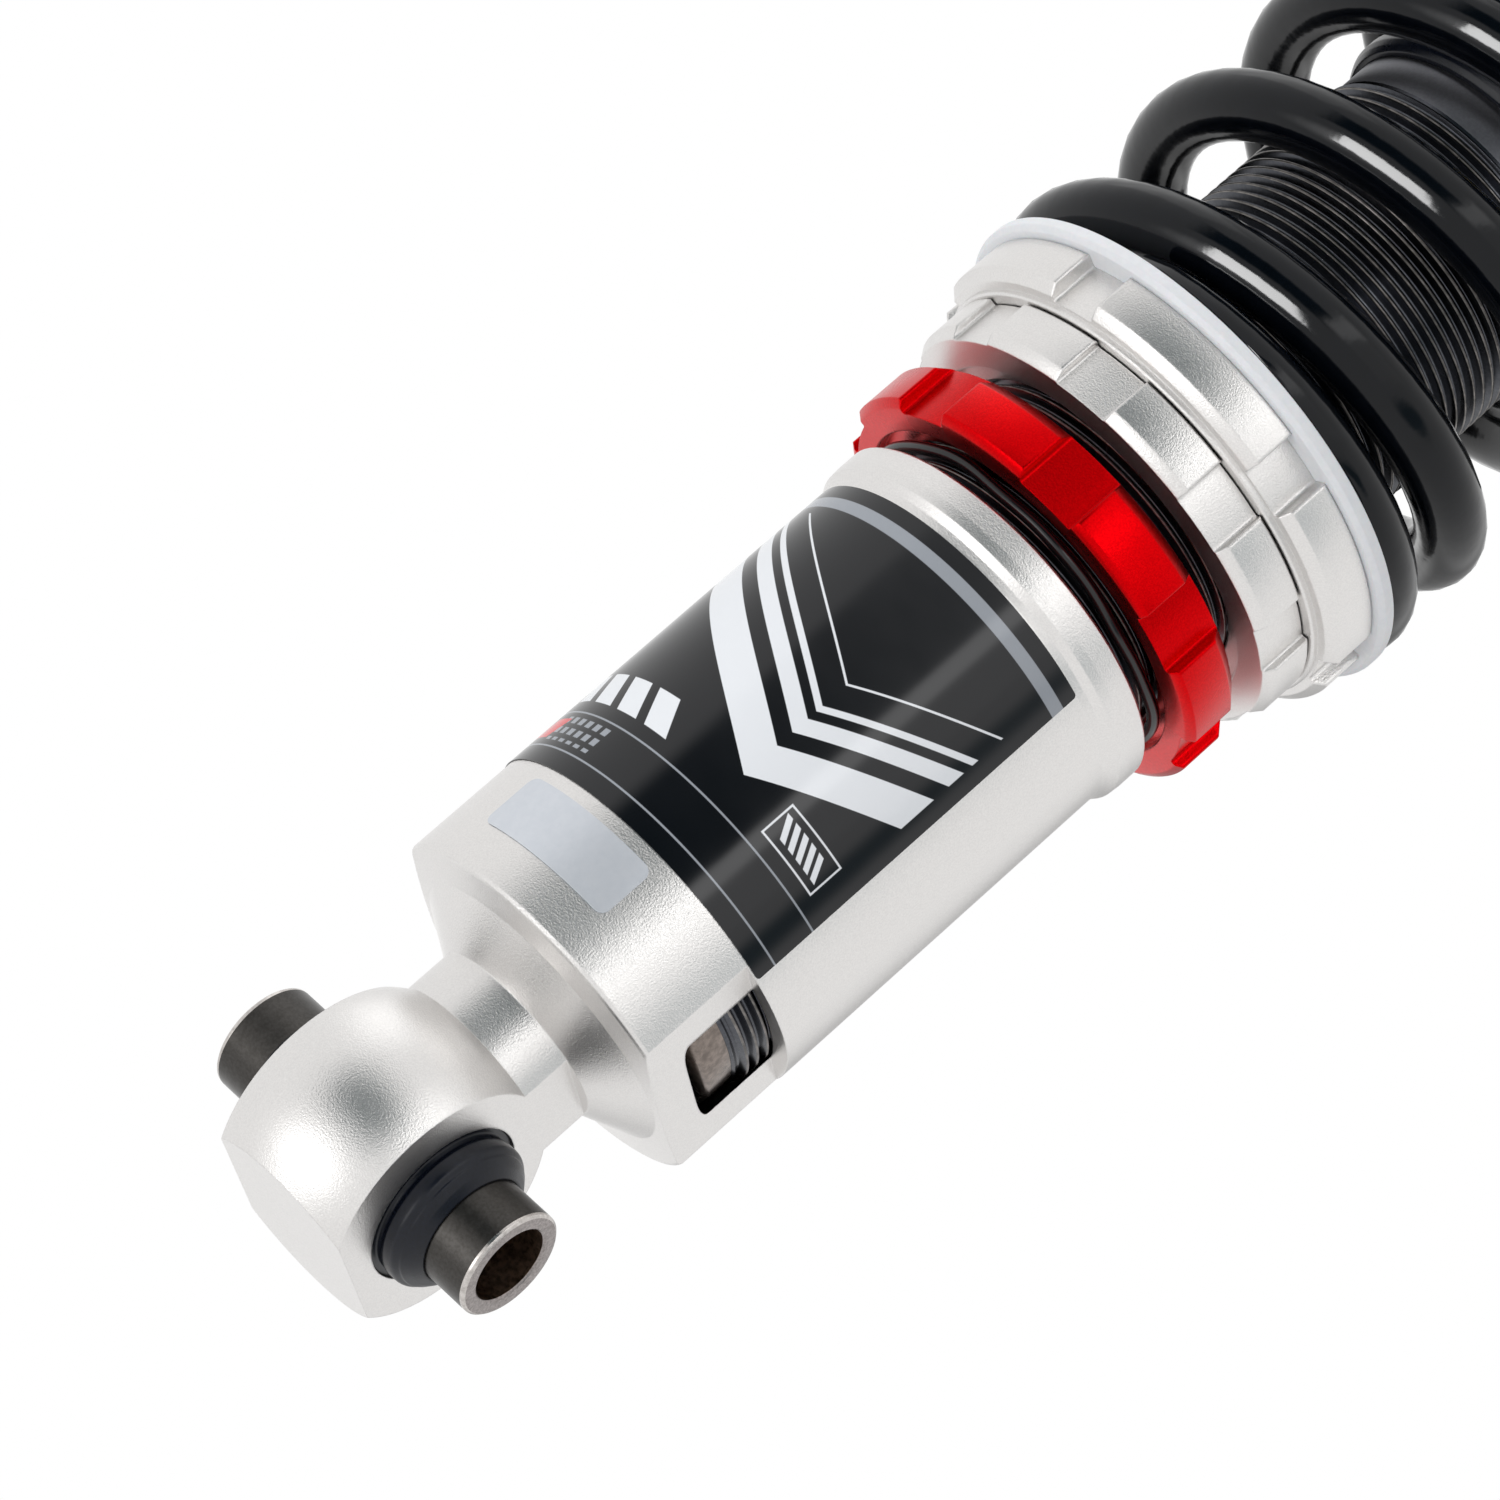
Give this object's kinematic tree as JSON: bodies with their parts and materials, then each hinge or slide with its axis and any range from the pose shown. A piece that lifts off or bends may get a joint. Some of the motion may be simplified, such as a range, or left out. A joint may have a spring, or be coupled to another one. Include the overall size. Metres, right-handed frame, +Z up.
{
  "type": "coilover",
  "caption": "Threaded-body coilover damper with a bushed lower eye, height-adjusting collars, a coil spring and a pillow-ball top mount",
  "frame": {"origin": "centre of the lower eye bore", "axes": "+X along the lower eye bore, +Z up the damper axis towards the top mount, +Y completes the right-handed frame"},
  "size_m": [0.1, 0.1, 0.4162],
  "materials": {
    "satin_alloy": "bead-blasted, clear anodised",
    "rubber_black": "moulded, satin",
    "sleeve_steel": "black-zinc turned steel, bare end faces",
    "label_print": "gloss black film with white and grey stripes",
    "sticker": "pale satin film, blank",
    "dark_anodised": "dark grey anodised, rolled thread",
    "steel": "turned",
    "seal_rubber": "moulded",
    "inner_alloy": "turned",
    "red_anodised": "bright red anodised",
    "nylon_white": "natural bluish white",
    "spring_paint": "gloss black powder coat",
    "rod_chrome": "hard chromed and ground",
    "band_ptfe": "bronze-filled, matte",
    "foam_yellow": "micro-cellular, matte",
    "zinc_steel": "zinc plated",
    "bearing_steel": "polished",
    "spring_steel": "oiled black",
    "stud_zinc": "yellow zinc plated",
    "knob_blue": "blue anodised",
    "brass": "turned"
  },
  "bodies": {
    "bracket": {"lower_bracket": "satin_alloy", "eye_bush": "rubber_black", "body_label": "label_print", "blank_sticker": "sticker"},
    "sleeve": {"eye_sleeve": "sleeve_steel"},
    "cartridge": {"cartridge_tube": "steel", "base_plug": "steel", "rod_guide": "steel", "rod_seal": "seal_rubber"},
    "damper_body": {"threaded_body": "dark_anodised", "gland_nut": "steel", "dust_cap": "rubber_black"},
    "gas_piston": {"floating_piston": "inner_alloy", "floating_piston_seal": "seal_rubber"},
    "thread_seal": {"sealing_ring": "seal_rubber"},
    "ring": {"lock_ring": "red_anodised"},
    "washer": {"spring_washer": "nylon_white"},
    "perch": {"spring_perch": "satin_alloy"},
    "collar": {"lock_collar": "satin_alloy"},
    "coil": {"spring": "spring_paint"},
    "rod": {"piston_rod": "rod_chrome", "piston": "steel", "piston_band": "band_ptfe", "compression_shims": "spring_steel", "rebound_shims": "spring_steel", "piston_nut": "steel", "rebound_bumper": "seal_rubber", "bump_stop": "foam_yellow", "upper_isolator": "rubber_black", "upper_spring_seat": "satin_alloy", "spacer": "zinc_steel", "bearing_ball": "bearing_steel", "top_washer": "zinc_steel", "top_nut": "zinc_steel"},
    "mount": {"top_plate": "satin_alloy", "bearing_race": "steel", "retaining_ring": "spring_steel", "mount_studs": "stud_zinc"},
    "knob": {"damping_knob": "knob_blue", "adjuster_needle": "brass"}
  },
  "joints": [
    {"name": "bush_twist", "type": "hinge", "parent": "bracket", "child": "sleeve", "pos_m": [0, 0, 0], "axis": [1, 0, 0], "range_deg": [-12, 12], "stiffness_Nm_per_rad": 80},
    {"name": "ride_height", "type": "slide", "parent": "bracket", "child": "cartridge", "axis": [0, 0, 1], "range_m": [0, 0.03]},
    {"name": "body_turn", "type": "hinge", "parent": "cartridge", "child": "damper_body", "pos_m": [0, 0, 0.135], "axis": [0, 0, 1], "range_deg": [0, 5400]},
    {"name": "lock_ring_height", "type": "slide", "parent": "bracket", "child": "thread_seal", "axis": [0, 0, 1], "range_m": [-0.0018, 0.0015]},
    {"name": "lock_ring_turn", "type": "hinge", "parent": "thread_seal", "child": "ring", "pos_m": [0, 0, 0.132], "axis": [0, 0, 1], "range_deg": [-324, 270]},
    {"name": "perch_height", "type": "slide", "parent": "cartridge", "child": "coil", "axis": [0, 0, 1], "range_m": [-0.0022, 0.012]},
    {"name": "washer_height", "type": "slide", "parent": "damper_body", "child": "washer", "axis": [0, 0, 1], "range_m": [-0.0022, 0.012]},
    {"name": "perch_turn", "type": "hinge", "parent": "washer", "child": "perch", "pos_m": [0, 0, 0.155], "axis": [0, 0, 1], "range_deg": [-396, 2160]},
    {"name": "lock_collar_turn", "type": "hinge", "parent": "washer", "child": "collar", "pos_m": [0, 0, 0.146], "axis": [0, 0, 1], "range_deg": [-396, 2160]},
    {"name": "damper_stroke", "type": "slide", "parent": "coil", "child": "rod", "axis": [0, 0, 1], "range_m": [-0.062, 0], "stiffness_N_per_m": 55000, "deforming": ["spring"]},
    {"name": "gas_piston_shift", "type": "slide", "parent": "cartridge", "child": "gas_piston", "axis": [0, 0, 1], "range_m": [-0.0076, 0]},
    {"name": "top_mount_tilt", "type": "hinge", "parent": "rod", "child": "mount", "pos_m": [0, 0, 0.365], "axis": [1, 0, 0], "range_deg": [-8, 8]},
    {"name": "knob_turn", "type": "hinge", "parent": "rod", "child": "knob", "pos_m": [0, 0, 0.395], "axis": [0, 0, 1], "range_deg": [0, 720]}
  ],
  "couplings": [
    {"joint": "body_turn", "follows": "ride_height", "rad_per_m": 3141.6},
    {"joint": "lock_ring_turn", "follows": "lock_ring_height", "rad_per_m": 3141.6},
    {"joint": "washer_height", "follows": "perch_height", "ratio": 1},
    {"joint": "perch_turn", "follows": "perch_height", "rad_per_m": 3141.6},
    {"joint": "lock_collar_turn", "follows": "perch_height", "rad_per_m": 3141.6},
    {"joint": "gas_piston_shift", "follows": "damper_stroke", "ratio": 0.1225}
  ]
}
